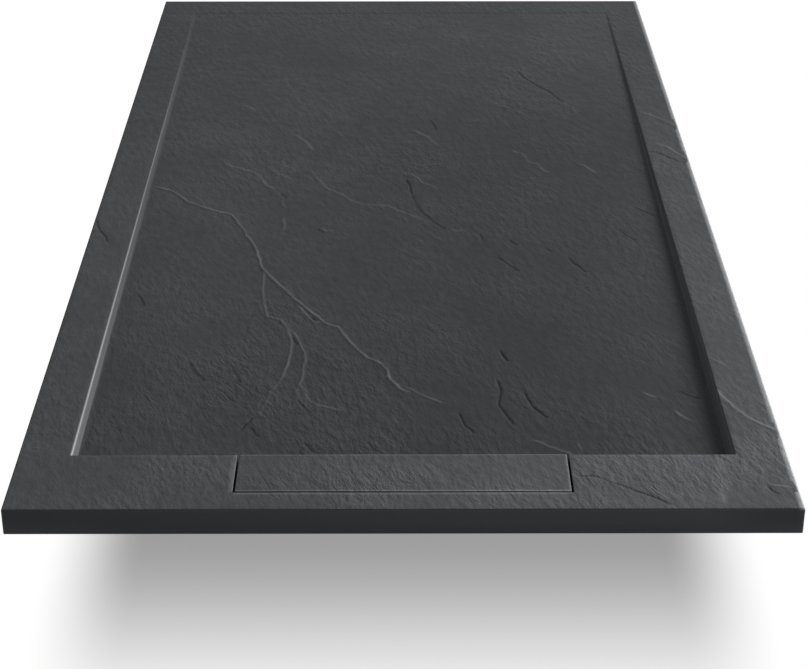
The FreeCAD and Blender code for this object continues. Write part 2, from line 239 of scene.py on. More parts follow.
def cloud(x, y, size_x, size_y, seed):
    """Smooth chance heights from -1 to 1, with hills about size_x by size_y across."""
    table = np.random.RandomState(seed).uniform(-1.0, 1.0, (chance_squares, chance_squares))
    u, v = x / size_x, y / size_y
    i, j = np.floor(u).astype(int), np.floor(v).astype(int)
    s, t = ease(u - i), ease(v - j)
    i, j = i % chance_squares, j % chance_squares
    i1, j1 = (i + 1) % chance_squares, (j + 1) % chance_squares
    near = table[i, j] * (1 - s) + table[i1, j] * s
    far = table[i, j1] * (1 - s) + table[i1, j1] * s
    return near * (1 - t) + far * t


def beside_line(x, y, points):
    """Distance from a bent line, which side of it, and how far from its nearer end."""
    line = np.array(points) * mm
    distance = np.full(x.shape, 1.0)
    side = np.zeros(x.shape)
    to_end = np.zeros(x.shape)
    lengths = np.hypot(*(line[1:] - line[:-1]).T)
    walked = np.concatenate([[0.0], np.cumsum(lengths)])
    for n, (start, end) in enumerate(zip(line, line[1:])):
        run = end - start
        along = np.clip(((x - start[0]) * run[0] + (y - start[1]) * run[1]) / (run @ run), 0.0, 1.0)
        off_x = x - start[0] - along * run[0]
        off_y = y - start[1] - along * run[1]
        here = np.hypot(off_x, off_y)
        nearer = here < distance
        distance = np.where(nearer, here, distance)
        side = np.where(nearer, np.sign(run[0] * off_y - run[1] * off_x), side)
        at = walked[n] + along * lengths[n]
        to_end = np.where(nearer, np.minimum(at, walked[-1] - at), to_end)
    return distance, side, to_end


def wandered(x, y):
    """The plan, nudged by chance so that drawn lines run as unevenly as split stone does."""
    dx = cloud(x, y, 0.014, 0.022, 11) + 0.6 * cloud(x, y, 0.005, 0.009, 12)
    dy = cloud(x, y, 0.014, 0.022, 13) + 0.6 * cloud(x, y, 0.005, 0.009, 14)
    return x + vein_wander * dx, y + 2.0 * vein_wander * dy


def unevenness(x, y):
    """How a vein swells and thins along its run."""
    return 0.88 + 0.32 * cloud(x, y, 0.020, 0.034, 15)


def bell(distance, width, power=2):
    """1 on a line, falling to almost nothing at twice the width beside it."""
    return np.exp(-((distance / width) ** power))


def line_marks(x, y):
    """How strongly each place lies on a vein's ridge and in a crack, from 0 to about 1."""
    wx, wy = wandered(x, y)
    ridge = np.zeros(x.shape)
    groove = np.zeros(x.shape)
    for height, width, _, points in veins:
        distance, _, to_end = beside_line(wx, wy, points)
        ridge = np.maximum(ridge, height * bell(distance, width * mm) * ease(to_end / end_taper))
    for depth, width, points in cracks:
        distance, _, to_end = beside_line(wx, wy, points)
        groove = np.maximum(groove, bell(distance, width * mm) * ease(2 * to_end / end_taper))
    return ridge * unevenness(x, y), groove


def roughness_of_split(x, y):
    """How roughly the stone split, from 0 to about 1."""
    rough = np.zeros(x.shape)
    for at_x, at_y, reach_x, reach_y, share in rough_places:
        spread = ((x - at_x * mm) / (reach_x * mm)) ** 2 + ((y - at_y * mm) / (reach_y * mm)) ** 2
        rough = np.maximum(rough, share * np.exp(-spread))
    return rough


def slate_relief(x, y):
    """Depth of the split stone's face below its highest places."""
    wx, wy = wandered(x, y)
    along, across = grain_x * x - grain_y * y, grain_y * x + grain_x * y
    swell = 0.10 * cloud(x, y, 0.170, 0.230, 1) + 0.07 * cloud(x, y, 0.060, 0.085, 2)
    shelf = 3.0 * cloud(wx, wy, 0.160, 0.210, 3) + 0.5 * cloud(wx, wy, 0.030, 0.055, 4)
    shelf = 0.07 * (np.floor(shelf) + ease((shelf - np.floor(shelf)) * 5.0))
    ripple = 0.050 * cloud(along, across, 0.055, 0.016, 5) + 0.040 * cloud(along, across, 0.026, 0.011, 6)
    height = swell + shelf + ripple * (0.5 + 0.9 * roughness_of_split(x, y))
    uneven = unevenness(x, y)
    for ridge, width, drop, points in veins:
        distance, side, to_end = beside_line(wx, wy, points)
        fade = ease(to_end / end_taper) * uneven
        height = height + ridge * fade * bell(distance, width * mm)
        height = height + 0.5 * drop * fade * np.tanh(side * distance / mm) * np.exp(-distance / plate_reach)
    for depth, width, points in cracks:
        distance, _, to_end = beside_line(wx, wy, points)
        height = height - depth * ease(2 * to_end / end_taper) * bell(distance, width * mm)
    return (highest_relief - height) * mm


def slate_height(x, y):
    """The finished height of the tray's top."""
    to_edge = edge_distance(x, y, half_width, front, back)
    relief = np.maximum(slate_relief(x, y), 0.0)
    level = highest_relief * mm
    return cast_height(x, y) - level - (relief - level) * ease(to_edge / relief_edge_fade)


# ---- the cast tray: its mesh
# The top is one grid, with close lines where an edge is rounded and finer cells along each vein and crack.
# The trough, the seat of the waste and its holes are then cut out of the slab, as the mould's cores leave them.
def lattice(xs, ys, detail):
    """A grid over the lines xs and ys, whose cells are split to quarters of their side where detail is set.

    Returns the lattice places of its corners, its faces, and the corners round its border in order."""
    splits = np.where(detail, 2, 0)
    spread = np.pad(detail, 1)
    near = np.zeros_like(detail)
    for i in range(3):
        for j in range(3):
            near |= spread[i : i + detail.shape[0], j : j + detail.shape[1]]
    splits = np.where(near & ~detail, 1, splits)
    used = np.zeros((4 * (len(xs) - 1) + 1, 4 * (len(ys) - 1) + 1), bool)
    cells = []
    for times_split, size in ((0, 4), (1, 2), (2, 1)):
        i, j = np.nonzero(splits == times_split)
        for a in range(0, 4, size):
            for b in range(0, 4, size):
                u, v = 4 * i + a, 4 * j + b
                cells.append((u, v, size))
                for du, dv in ((0, 0), (size, 0), (size, size), (0, size)):
                    used[u + du, v + dv] = True
    number = np.cumsum(used).reshape(used.shape) - 1
    faces = []
    for u, v, size in cells:
        half = size // 2
        ring = [(0, 0), (half, 0), (size, 0), (size, half), (size, size), (half, size), (0, size), (0, half)]
        if size == 1:
            ring = [(0, 0), (1, 0), (1, 1), (0, 1)]
        present = np.stack([used[u + du, v + dv] for du, dv in ring], axis=1)
        corner = np.stack([number[u + du, v + dv] for du, dv in ring], axis=1)
        for flags, corners in zip(present.tolist(), corner.tolist()):
            faces.append([c for c, f in zip(corners, flags) if f])
    places = np.argwhere(used)
    last_u, last_v = used.shape[0] - 1, used.shape[1] - 1
    border = [(u, 0) for u in range(last_u)] + [(last_u, v) for v in range(last_v)]
    border += [(u, last_v) for u in range(last_u, 0, -1)] + [(0, v) for v in range(last_v, 0, -1)]
    border = [int(number[u, v]) for u, v in border if used[u, v]]
    return places, faces, border


def cell_middles(lines):
    return (lines[1:] + lines[:-1]) / 2


def fine_lines(lines):
    """The grid's lines with the three quarter lines between each two."""
    steps = np.arange(4 * (len(lines) - 1) + 1) / 4
    return np.interp(steps, np.arange(len(lines)), lines)


def new_piece(name, verts, faces):
    mesh = bpy.data.meshes.new(name)
    mesh.from_pydata([tuple(v) for v in verts], [], faces)
    piece = bpy.data.objects.new(name, mesh)
    bpy.context.scene.collection.objects.link(piece)
    return piece


def slab(name, xs, ys, detail, height_at, corner, skirt):
    """A closed slab with a relief top. Its sides go down through the skirt's (inset, height) rings."""
    places, faces, border = lattice(xs, ys, detail)
    x, y = fine_lines(xs)[places[:, 0]], fine_lines(ys)[places[:, 1]]
    z = height_at(x, y)
    middle_y = (ys[0] + ys[-1]) / 2
    far_x, far_y = xs[-1], (ys[-1] - ys[0]) / 2
    over_x = np.abs(x) - (far_x - corner)
    over_y = np.abs(y - middle_y) - (far_y - corner)
    both = (over_x > 0) & (over_y > 0)
    pull = np.where(both, np.maximum(over_x, over_y) / np.maximum(np.hypot(over_x, over_y), 1e-9), 1.0)
    x = np.where(both, np.sign(x) * (far_x - corner + over_x * pull), x)
    y = np.where(both, middle_y + np.sign(y - middle_y) * (far_y - corner + over_y * pull), y)
    verts = np.stack([x, y, z], axis=1)
    rings = [border]
    edge = verts[border]
    for inset, level in skirt:
        low = edge.copy()
        low[:, 0] = np.clip(low[:, 0], -far_x + inset, far_x - inset)
        low[:, 1] = np.clip(low[:, 1], middle_y - far_y + inset, middle_y + far_y - inset)
        low[:, 2] = level
        rings.append(list(range(len(verts), len(verts) + len(low))))
        verts = np.concatenate([verts, low])
    for upper, lower in zip(rings, rings[1:]):
        for n in range(len(upper)):
            after = (n + 1) % len(upper)
            faces.append([upper[after], upper[n], lower[n], lower[after]])
    faces.append(rings[-1][::-1])
    return new_piece(name, verts, faces)


def cutter(outline, low, high):
    """A closed block of the given outline, for cutting."""
    count = len(outline)
    verts = [(x, y, low) for x, y in outline] + [(x, y, high) for x, y in outline]
    faces = [list(range(count))[::-1], list(range(count, 2 * count))]
    faces += [[n, (n + 1) % count, count + (n + 1) % count, count + n] for n in range(count)]
    return new_piece("cutter", verts, faces)


def disc_outline(radius, x, y, sides=72):
    turn = [2 * math.pi * n / sides for n in range(sides)]
    return [(x + radius * math.cos(a), y + radius * math.sin(a)) for a in turn]


def box_outline(x0, x1, y0, y1, radius=0.0, sides=8):
    """A rectangle, with its corners rounded where a radius is given."""
    if not radius:
        return [(x0, y0), (x1, y0), (x1, y1), (x0, y1)]
    corners = ((x1 - radius, y0 + radius, -90), (x1 - radius, y1 - radius, 0),
               (x0 + radius, y1 - radius, 90), (x0 + radius, y0 + radius, 180))
    outline = []
    for cx, cy, start in corners:
        for n in range(sides + 1):
            a = math.radians(start + 90 * n / sides)
            outline.append((cx + radius * math.cos(a), cy + radius * math.sin(a)))
    return outline


def combine(piece, other, operation):
    """Joins another closed piece to this one, or cuts it away, and deletes it."""
    change = piece.modifiers.new("combine", "BOOLEAN")
    change.operation = operation
    change.solver = "MANIFOLD"
    change.object = other
    settled = bpy.data.meshes.new_from_object(piece.evaluated_get(bpy.context.evaluated_depsgraph_get()))
    piece.modifiers.clear()
    spare = piece.data
    piece.data = settled
    settled.name = piece.name
    bpy.data.meshes.remove(spare)
    bpy.data.objects.remove(other)


half_lines = grid_lines([
    (0.0, grid_step),
    (recess_half + cut_clearance, edge_step),
    (recess_half + gap_edge_round, grid_step),
    (basin_half - wall_run - wall_blur, wall_step),
    (basin_half + wall_blur, grid_step),
    (half_width - outer_round, edge_step),
    (half_width, 0.0),
])
tray_xs = np.concatenate([-half_lines[:0:-1], half_lines])
tray_ys = grid_lines([
    (front, edge_step),
    (front + outer_round, grid_step),
    (recess_front - gap_edge_round, edge_step),
    (recess_front - cut_clearance, grid_step),
    (basin_front - wall_blur, wall_step),
    (basin_front + wall_run + wall_blur, grid_step),
    (basin_back - wall_run - wall_blur, 2 * wall_step),
    (basin_back + wall_blur, grid_step),
    (back - outer_round, edge_step),
    (back, 0.0),
])
detail_reach = 0.0038
middle_x, middle_y = np.meshgrid(cell_middles(tray_xs), cell_middles(tray_ys), indexing="ij")
near_line = np.zeros(middle_x.shape, bool)
for *_, line_points in veins + cracks:
    near_line |= beside_line(middle_x, middle_y, line_points)[0] < detail_reach
upper_band = 0.0055
tray_skirt = [(0.0, top - upper_band), (0.0, top * 0.5), (0.0, foot_chamfer), (foot_chamfer, 0.0)]
tray = slab("cast_tray", tray_xs, tray_ys, near_line, slate_height, corner_round, tray_skirt)

trough_corner = 0.008
side_ledge, front_ledge, behind_cover = 0.010, 0.008, 0.008
flange_sunk, flange_clearance = 0.0002, 0.0005
waste_hole, pocket_radius = 0.026, 0.049
post_root, post_sides = 0.002, 32
above, below = top + 0.01, -0.01

ledge_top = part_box("cover_edge_pads")[0].z
trough_half = recess_half - side_ledge
trough_front = recess_front + front_ledge
trough_back = basin_front + behind_cover
waste_low, waste_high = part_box("waste_flange")
waste_y = (waste_low.y + waste_high.y) / 2
trough_floor = waste_high.z + flange_sunk
seat_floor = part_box("flange_seal")[0].z
seat_radius = waste_high.x + flange_clearance
pocket_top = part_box("underside_seal")[1].z

# the cover's recess, the trough, the flange's seat, the waste's hole and the trap's pocket underneath
cores = (
    (box_outline(-recess_half, recess_half, recess_front, basin_front + wall_run), ledge_top, above),
    (box_outline(-trough_half, trough_half, trough_front, trough_back, trough_corner), trough_floor, above),
    (disc_outline(seat_radius, 0.0, waste_y), seat_floor, above),
    (disc_outline(waste_hole, 0.0, waste_y), below, above),
    (disc_outline(pocket_radius, 0.0, waste_y), below, pocket_top),
)
for outline, low, high in cores:
    combine(tray, cutter(outline, low, high), "DIFFERENCE")

pads_low, pads_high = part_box("cover_post_pads")
post_radius = (pads_high.y - pads_low.y) / 2
for side in (-1, 1):
    post = disc_outline(post_radius, side * (pads_high.x - post_radius), pads_low.y + post_radius, post_sides)
    combine(tray, cutter(post, trough_floor - post_root, pads_low.z), "UNION")


# ---- the cast tray: light and shade painted on its gelcoat
# Light and shade are painted into the gelcoat's colour: pale painted highlights along the edges the lamps
# catch, and painted shade that makes the floor a little darker than the rims, with the rims painted palest in
# front on the right. The painted light and shade of the leaning walls and of the cover's gap are added here
# too, as marks on the mesh that the finish reads.
# Painted light and shade for the leaning walls at places along the tray: the left wall is painted lighter near
# the drain end and darker further back, the right wall mostly darker. Then the painted shade in the right
# wall's crease, along the left outer edge and in the recess, and the darkest shade painted anywhere.
wall_stops = (-0.69, -0.59, -0.33, 0.0, 0.6)
right_wall_painted_shading = (-0.05, 0.0, 0.22, 0.68, 0.55)
left_wall_painted_shading = (-0.65, -0.40, 0.08, 0.42, 0.38)
crease_painted_shade, left_edge_painted_shade, recess_painted_shade, darkest_tone = 0.45, 0.80, 0.35, 0.85

# Painted highlights: how pale the edges are painted where the lamps catch them, strongest along the left of the
# basin.
lip_depth = 2.2 * mm
left_highlight_stops = (-0.70, -0.60, -0.33, 0.0, 0.6)
left_highlight_shares = (1.15, 0.88, 0.63, 0.37, 0.08)
left_painted_highlight, front_painted_highlight, other_painted_highlight = 0.40, 0.15, 0.02
recess_lip_highlight, recess_end_highlight, right_side_highlight = 0.16, 0.14, 0.45


def floor_painted_shade(x, y):
    """Painted shade: how much darker the floor is painted than the palest rim, more so on the right. It meets
    the rim's tone at the far end.
    """
    near_drain = 0.27 + 0.27 * ease((x + 0.30) / 0.50)
    return near_drain + (0.36 - near_drain) * ease((y - 0.10) / 0.50)


def rim_painted_light_and_shade(x, y):
    """The same painted light and shade for the rims, which are painted palest in front on the right, where most
    light falls.
    """
    front_rim = -0.13 * ease((x + 0.30) / 0.40) + 0.25 * ease((x - 0.28) / 0.10)
    left_rim = 0.07 + 0.28 * ease((y + 0.35) / 0.95)
    right_rim = 0.19 + 0.10 * ease((y + 0.60) / 0.60) + 0.13 * ease((y - 0.10) / 0.50)
    beside = left_rim + (right_rim - left_rim) * ease((x + 0.30) / 0.60)
    return front_rim + (beside - front_rim) * ease((y - basin_front) / 0.08)


def front_face_painted_shade(x):
    """And the painted shade on the front face, which is painted darker towards its ends."""
    return 0.28 * ease((-0.20 - x) / 0.20) + 0.15 * ease((x - 0.30) / 0.10)


def side_wall(to_side, wall, ends, lowest, fade):
    """1 on a side wall's leaning face, down to where the floor's painted shade takes over."""
    face = np.where(to_side < wall_run + wall_blur, ease((to_side + 0.5 * mm) / mm), 0.0)
    return face * ease((lowest - wall) / fade) * (ends > 0.02)


def painted_light_and_shade(x, y, z, up, in_recess):
    """The painted light and shade: how much darker than the palest rim the stone is painted anywhere, lighter
    where below 0.
    """
    wall, ends = basin_shares(x, y)
    on_rim = rim_painted_light_and_shade(x, y)
    stone = on_rim + (floor_painted_shade(x, y) - on_rim) * ease(wall)
    # painted shade in the crease at the foot of the right wall
    crease = crease_painted_shade * bell(basin_half - x - wall_run, 1.8 * mm)
    stone = np.where(wall > 0.5, np.maximum(stone, crease), stone)
    # painted light and shade on the two leaning side walls
    right = side_wall(basin_half - x, wall, ends, 0.86, 0.2)
    left = side_wall(basin_half + x, wall, ends, 0.92, 0.15)
    walls = right * np.interp(y, wall_stops, right_wall_painted_shading)
    walls = walls + left * np.interp(y, wall_stops, left_wall_painted_shading)
    painted_shading = stone * (1.0 - right) * (1.0 - left) + walls
    # painted shade along the left outer edge
    painted_shading = painted_shading + left_edge_painted_shade * bell(half_width + x, 1.6 * mm, 4) * (z > top - 3.2 * mm)
    # painted shade on the front face, darker towards its ends
    on_front_face = (y < front + 1.2 * mm) & (up < 0.5)
    painted_shading = painted_shading + np.where(on_front_face, front_face_painted_shade(x), 0.0)
    # the recess under the cover is painted in shade
    return np.where(in_recess, recess_painted_shade, np.minimum(painted_shading, darkest_tone))


def gap_sides(x, y):
    """The faces on either side of the open gap round the cover."""
    slack, reach = 0.02 * mm, 0.0045
    to_outline = np.minimum(recess_half + slack - np.abs(x), y - recess_front + slack)
    return (to_outline > 0.0) & (to_outline < reach) & (y < basin_front + wall_run + 0.2 * mm)


def mark_stone(piece, highlight_at, dark_from, moulded_half=0.0, moulded_back=0.0):
    """Writes what the slate's finish reads: the veins, cracks, painted light, shade and highlights, and which
    faces are split stone.

    The gap's sides get painted shade from dark_from below the top. The tray's recess is moulded and not split,
    out to moulded_half on each side and back to moulded_back."""
    mesh = piece.data
    count = len(mesh.vertices)
    places, normals = np.empty(3 * count), np.empty(3 * count)
    mesh.vertices.foreach_get("co", places)
    mesh.vertices.foreach_get("normal", normals)
    x, y, z = places.reshape(-1, 3).T
    up = normals.reshape(-1, 3)[:, 2]
    in_recess = (np.abs(x) < moulded_half) & (y < moulded_back) & (y > recess_front)
    split = ease((up - 0.45) / 0.4) * np.where(in_recess, 0.0, 1.0)
    ridge, groove = line_marks(x, y)
    upper = z > 3 * mm
    marks = {
        "vein": ridge * split,
        "crack": groove * split,
        "split": split,
        "painted_shading": painted_light_and_shade(x, y, z, up, in_recess) * upper,
        "painted_highlight": highlight_at(x, y, z) * upper,
        "rough": roughness_of_split(x, y) * upper,
        # painted shade on the sides of the gap round the cover
        "painted_gap_shade": gap_sides(x, y) & (z < top - dark_from) & upper,
    }
    for name, values in marks.items():
        layer = mesh.attributes.new(name, "FLOAT", "POINT")
        layer.data.foreach_set("value", values.astype(np.float32))
    mesh.shade_smooth()
    mesh.set_sharp_from_angle(angle=math.radians(40))


def tray_painted_highlight(x, y, z):
    """Painted highlight: how pale the gelcoat is painted where the lamps catch an edge: the basin's upper edge,
    the recess's lips and the right side.
    """
    ahead, beside = y - basin_front, basin_half + x
    inside = edge_distance(x, y, basin_half, basin_front, basin_back)
    on_left, on_front = beside <= inside + 1e-9, ahead <= inside + 1e-9
    # the painted highlight is strongest on the basin's left edge, which faces the lamps, and weak on the right
    share = np.where(on_left, left_painted_highlight, np.where(on_front, front_painted_highlight, other_painted_highlight))
    share = share * np.where(on_left, np.interp(y, left_highlight_stops, left_highlight_shares), 1.0)
    basin = share * bell(inside - 0.1 * mm, 0.50 * mm)
    near_top = z > top - lip_depth
    before_recess, beside_recess = recess_front - y, -recess_half - x
    on_lip = (before_recess > 0.0) & (np.abs(x) < recess_half) & near_top
    on_end = (beside_recess > 0.0) & (y > recess_front) & (y < basin_front + wall_run) & near_top
    lip = np.where(on_lip, recess_lip_highlight, 0.0) * np.exp(-np.maximum(before_recess, 0.0) / (0.8 * mm))
    end = np.where(on_end, recess_end_highlight, 0.0) * bell(beside_recess, 0.7 * mm)
    # painted highlight on the rounding of the right outer edge, which faces the lamps
    side = np.where(near_top, right_side_highlight, 0.0) * bell(half_width - x, 2.4 * mm, 4)
    return np.maximum(np.maximum(basin, np.maximum(lip, end)), side)


mark_stone(tray, tray_painted_highlight, 0.5 * mm, recess_half, trough_back)


# ---- the cast tray: its finish
# Matt anthracite gelcoat, coloured right through. The split faces show fine streaks that run with the stone's
# grain, pale ridges and cracks painted dark with shade; the moulded faces are smoother and of one tone. The
# marks on the mesh add painted highlights along edges and painted light and shade over rims, floor, walls,
# recess and gap.
def feed(tree, socket, value):
    """Links another node's socket to this one, or sets its number or colour."""
    if isinstance(value, bpy.types.NodeSocket):
        tree.links.new(value, socket)
    else:
        socket.default_value = value


def named_group(name, inputs, outputs):
    """An empty node group with a vector input, number inputs with their values, and number outputs."""
    group = bpy.data.node_groups.new(name, "ShaderNodeTree")
    group.interface.new_socket("Vector", in_out="INPUT", socket_type="NodeSocketVector")
    for socket_name, value in inputs.items():
        socket = group.interface.new_socket(socket_name, in_out="INPUT", socket_type="NodeSocketFloat")
        socket.default_value = value
    for socket_name in outputs:
        group.interface.new_socket(socket_name, in_out="OUTPUT", socket_type="NodeSocketFloat")
    return group, group.nodes.new("NodeGroupInput"), group.nodes.new("NodeGroupOutput")


def math_node(tree, operation, a, b=0.0, clamp=False):
    """One sum in a node tree. Each side is a socket or a number. Returns the result's socket."""
    node = tree.nodes.new("ShaderNodeMath")
    node.operation = operation
    node.use_clamp = clamp
    feed(tree, node.inputs[0], a)
    feed(tree, node.inputs[1], b)
    return node.outputs[0]


def times(tree, a, b):
    return math_node(tree, "MULTIPLY", a, b)


def plus(tree, a, b):
    return math_node(tree, "ADD", a, b)


def weighted(tree, value, share, start, clamp=False):
    """A value times a share, plus a start."""
    result = math_node(tree, "MULTIPLY_ADD", value, share, clamp)
    result.node.inputs[2].default_value = start
    return result


def noise_node(tree, vector, scale, detail, roughness):
    node = tree.nodes.new("ShaderNodeTexNoise")
    for name, value in (("Vector", vector), ("Scale", scale), ("Detail", detail), ("Roughness", roughness)):
        feed(tree, node.inputs[name], value)
    return node.outputs["Fac"]


def grain_noise(tree, vector, turn, size, detail, roughness):
    """Noise with grains of the given size along each axis, turned about Z by the given degrees."""
    node = tree.nodes.new("ShaderNodeMapping")
    node.vector_type = "TEXTURE"
    node.inputs["Rotation"].default_value = (0.0, 0.0, math.radians(turn))
    node.inputs["Scale"].default_value = size
    feed(tree, node.inputs["Vector"], vector)
    return noise_node(tree, node.outputs["Vector"], 1.0, detail, roughness)


def bent_vector(tree, vector, scale, reach):
    """A vector pushed about by noise, so that what is drawn with it bends."""
    noise = noise_node(tree, vector, scale, 2.0, 0.5).node
    push = tree.nodes.new("ShaderNodeVectorMath")
    push.operation = "MULTIPLY_ADD"
    for socket, value in zip(push.inputs, (noise.outputs["Color"], (reach, reach, reach), vector)):
        feed(tree, socket, value)
    return push.outputs[0]


def split_slate_group():
    """Split slate's fine surface. Grain sets how strong its height is, and Wrinkles how deep its folds are."""
    group, inside, outside = named_group("split slate", {"Grain": 1.0, "Wrinkles": 0.0}, ("Height", "Tone"))
    vector = inside.outputs["Vector"]
    bent = bent_vector(group, vector, 55.0, 0.0035)
    pebble = grain_noise(group, bent, 12, (0.0080, 0.0175, 0.010), 5.0, 0.62)
    streak = grain_noise(group, bent, -66, (0.022, 0.0070, 0.02), 4.0, 0.58)
    patches = noise_node(group, vector, 9.0, 3.0, 0.55)
    calm = weighted(group, patches, 2.4, -0.45)
    raised = times(group, plus(group, times(group, pebble, 0.95), times(group, streak, 0.30)), calm)
    folds = grain_noise(group, bent, -62, (0.040, 0.0150, 0.02), 2.0, 0.45)
    folds = math_node(group, "ABSOLUTE", math_node(group, "SUBTRACT", folds, 0.5))
    folded = weighted(group, noise_node(group, vector, 26.0, 2.0, 0.5), 7.0, -3.6, clamp=True)
    folds = times(group, math_node(group, "MINIMUM", folds, 0.07), folded)
    raised = plus(group, raised, times(group, folds, inside.outputs["Wrinkles"]))
    feed(group, outside.inputs["Height"], times(group, raised, inside.outputs["Grain"]))
    tone = plus(group, times(group, pebble, 0.35), times(group, patches, 0.35))
    feed(group, outside.inputs["Tone"], plus(group, tone, times(group, streak, 0.30)))
    return group


def read_mark(tree, name):
    node = tree.nodes.new("ShaderNodeAttribute")
    node.attribute_name = name
    return node.outputs["Fac"]


def mixed(tree, share, first, second):
    """Mixes two colours. Each is a socket or a colour."""
    node = tree.nodes.new("ShaderNodeMix")
    node.data_type = "RGBA"
    colour_inputs = [s for s in node.inputs if s.type == "RGBA"]
    for socket, value in zip((node.inputs["Factor"], *colour_inputs), (share, first, second)):
        feed(tree, socket, value)
    return [s for s in node.outputs if s.type == "RGBA"][0]


def coat(tree, shader, colour, rough, height, depth):
    """Gives a finish its colour, its roughness and its fine relief, of the given depth."""
    bump = tree.nodes.new("ShaderNodeBump")
    bump.inputs["Strength"].default_value = 1.0
    bump.inputs["Distance"].default_value = depth
    feed(tree, bump.inputs["Height"], height)
    for name, value in (("Base Color", colour), ("Roughness", rough), ("Normal", bump.outputs["Normal"])):
        feed(tree, shader.inputs[name], value)


def new_finish(name):
    finish = bpy.data.materials.new(name)
    finish.use_nodes = True
    tree = finish.node_tree
    return finish, tree, tree.nodes["Principled BSDF"]


slate_dark = (0.0475, 0.0495, 0.0535, 1.0)
slate_light = (0.0815, 0.0845, 0.0905, 1.0)
slate_ridge = (0.170, 0.175, 0.182, 1.0)
# the pale colour of the painted highlights
slate_painted_highlight = (0.780, 0.790, 0.800, 1.0)
# the near-black of the painted shade in the gap and in the cracks
slate_painted_shade = (0.008, 0.009, 0.010, 1.0)
moulded_slate = (0.064, 0.067, 0.071, 1.0)

slate_finish, tree, shader = new_finish("anthracite slate gelcoat")
stone = tree.nodes.new("ShaderNodeGroup")
stone.node_tree = split_slate_group()
feed(tree, stone.inputs["Vector"], tree.nodes.new("ShaderNodeTexCoord").outputs["Object"])
split_mark, rough_mark = read_mark(tree, "split"), read_mark(tree, "rough")
grain_depth = times(tree, split_mark, weighted(tree, rough_mark, 0.66, 0.54))
feed(tree, stone.inputs["Grain"], math_node(tree, "MAXIMUM", grain_depth, 0.08))
feed(tree, stone.inputs["Wrinkles"], weighted(tree, rough_mark, 2.4, 0.2))

stone_tone = weighted(tree, stone.outputs["Tone"], 2.6, -0.8, clamp=True)
stone_colour = mixed(tree, stone_tone, slate_dark, slate_light)
stone_colour = mixed(tree, split_mark, moulded_slate, stone_colour)
# The painted light and shade scale the stone's colour: darker where painted shade, lighter where the mark is
# below 0.
darker = tree.nodes.new("ShaderNodeVectorMath")
darker.operation = "SCALE"
feed(tree, darker.inputs[0], stone_colour)
feed(tree, darker.inputs["Scale"], math_node(tree, "SUBTRACT", 1.0, read_mark(tree, "painted_shading")))
stone_colour = darker.outputs[0]
# Painted highlight on the lit edges, painted shade in the cover's gap and in the cracks, and the veins' pale
# ridges.
for mark, share, mark_colour in (("painted_highlight", 1.0, slate_painted_highlight), ("painted_gap_shade", 0.85, slate_painted_shade),
                                 ("vein", 0.75, slate_ridge), ("crack", 0.8, slate_painted_shade)):
    stone_colour = mixed(tree, times(tree, read_mark(tree, mark), share), stone_colour, mark_colour)
coat(tree, shader, stone_colour, weighted(tree, split_mark, 0.27, 0.45), stone.outputs["Height"], 0.0030)
shader.inputs["Specular IOR Level"].default_value = 0.08

tray.data.materials.clear()
tray.data.materials.append(slate_finish)
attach(tray, "tray")
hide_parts("tray_body")

# ---- the drain cover
# A thin plate cast in the same mould as the tray, so the stone's grain and veins run on across it. It lies
# flush in its recess with an open gap at the front and both ends.
cover_step = 0.0022
cover_edge_step = 0.00025
cover_round = 0.0007
cover_corner = 0.0012
cover_foot = 0.0004
cover_band = 0.0035


def cover_height(x, y):
    to_edge = edge_distance(x, y, cover_high.x, cover_low.y, cover_high.y)
    return cover_high.z - np.maximum(slate_relief(x, y), 0.0) - round_over(to_edge, cover_round)


def cover_lines(start, end):
    return grid_lines([(start, cover_edge_step), (start + cover_round, cover_step),
                       (end - cover_round, cover_edge_step), (end, 0.0)])


cover_xs = cover_lines(-cover_high.x, cover_high.x)
cover_ys = cover_lines(cover_low.y, cover_high.y)
cover_detail = np.zeros((len(cover_xs) - 1, len(cover_ys) - 1), bool)
cover_skirt = [(0.0, cover_high.z - cover_band), (0.0, cover_low.z + cover_foot), (cover_foot, cover_low.z)]
cover = slab("slate_drain_cover", cover_xs, cover_ys, cover_detail, cover_height, cover_corner, cover_skirt)


def cover_painted_highlight(x, y, z):
    """Painted highlight along the cover's upper edges, palest in front and brighter towards the right."""
    front_edge = (0.25 + 0.09 * x / cover_high.x) * bell(y - cover_low.y, 1.2 * mm)
    rear_edge = 0.12 * bell(cover_high.y - y, 1.1 * mm)
    right_edge = 0.14 * bell(cover_high.x - x, 1.0 * mm)
    return np.maximum(np.maximum(front_edge, rear_edge), right_edge) * (z > cover_high.z - 3 * mm)


mark_stone(cover, cover_painted_highlight, 3.0 * mm)
cover.data.materials.append(slate_finish)
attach(cover, "cover")
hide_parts("drain_cover")


# ---- under the cover: the stiffening plate and the rubber pads
# A folded stainless sheet, bonded under the thin cover to keep it flat. Rubber pads on the cover's edges and
# on the two cast posts keep it from rattling on the stone.
def handled_surface_group():
    """Colour clouds, fine grain and hair scratches, for the drain's small metal, rubber and moulded pieces."""
    group, inside, outside = named_group(
        "handled surface", {"Cloud Scale": 30.0, "Grain Scale": 900.0}, ("Cloud", "Grain", "Scratch"))
    vector = inside.outputs["Vector"]
    for kind in ("Cloud", "Grain"):
        feed(group, outside.inputs[kind], noise_node(group, vector, inside.outputs[kind + " Scale"], 4.0, 0.5))
    scratches = grain_noise(group, bent_vector(group, vector, 25.0, 0.02), 31, (0.050, 0.0006, 0.02), 2.0, 0.5)
    feed(group, outside.inputs["Scratch"], weighted(group, scratches, 12.0, -8.2, clamp=True))
    return group


handled_surface = handled_surface_group()


